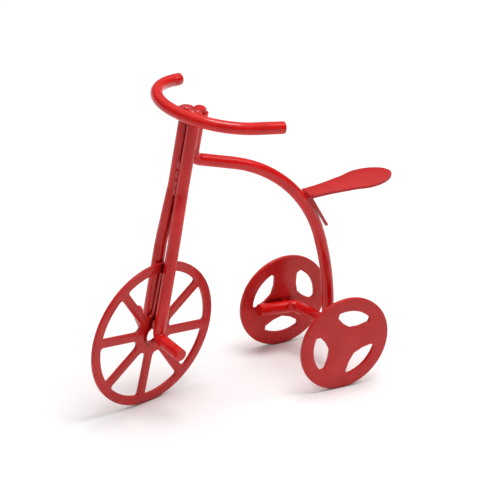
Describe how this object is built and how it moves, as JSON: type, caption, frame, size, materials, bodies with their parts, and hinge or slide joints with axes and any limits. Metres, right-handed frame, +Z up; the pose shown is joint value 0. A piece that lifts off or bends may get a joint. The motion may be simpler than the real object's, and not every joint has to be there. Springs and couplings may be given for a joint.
{
  "type": "miniature tricycle",
  "caption": "Small red enamelled wire tricycle with a steering fork, a large spoked front wheel, two small windowed rear wheels and a spoon-shaped seat.",
  "frame": {"origin": "on the floor that the wheels stand on, midway between the rear wheels' centres", "axes": "+X forward to the front wheel, +Y to the rider's left, +Z up"},
  "size_m": [0.0742, 0.0309, 0.069],
  "materials": {
    "wire_enamel": "gloss red enamel over steel wire",
    "wheel_enamel": "gloss red enamel over stamped steel sheet",
    "seat_enamel": "gloss red enamel over stamped steel sheet",
    "weld_enamel": "gloss red enamel pooled over weld beads"
  },
  "bodies": {
    "frame": {"backbone": "wire_enamel", "seat": "seat_enamel", "seat_weld": "weld_enamel", "rear_axle": "wire_enamel", "axle_weld": "weld_enamel"},
    "fork": {"handlebar": "wire_enamel", "left_fork_wire": "wire_enamel", "right_fork_wire": "wire_enamel", "head_collar": "wire_enamel", "head_weld": "weld_enamel", "fork_tack": "weld_enamel", "hub_eyelet": "wire_enamel", "hub_welds": "weld_enamel"},
    "front_wheel": {"front_wheel": "wheel_enamel"},
    "left_rear_wheel": {"left_rear_wheel": "wheel_enamel", "left_rear_pin": "wire_enamel"},
    "right_rear_wheel": {"right_rear_wheel": "wheel_enamel", "right_rear_pin": "wire_enamel"}
  },
  "joints": [
    {"name": "steering", "type": "hinge", "parent": "frame", "child": "fork", "pos_m": [0.03247, 0, 0.06614], "axis": [-0.1149, 0, 0.9934], "range_deg": [-58.6, 31.4]},
    {"name": "front_wheel_spin", "type": "hinge", "parent": "fork", "child": "front_wheel", "pos_m": [0.04102, 0.00068, 0.01679], "axis": [-0.2336, 0.972, -0.027], "continuous": true},
    {"name": "left_rear_wheel_spin", "type": "hinge", "parent": "frame", "child": "left_rear_wheel", "pos_m": [-0.0011, 0.01145, 0.011], "axis": [0, 1, 0], "continuous": true},
    {"name": "right_rear_wheel_spin", "type": "hinge", "parent": "frame", "child": "right_rear_wheel", "pos_m": [0.0011, -0.01145, 0.011], "axis": [0, 1, 0], "continuous": true}
  ]
}
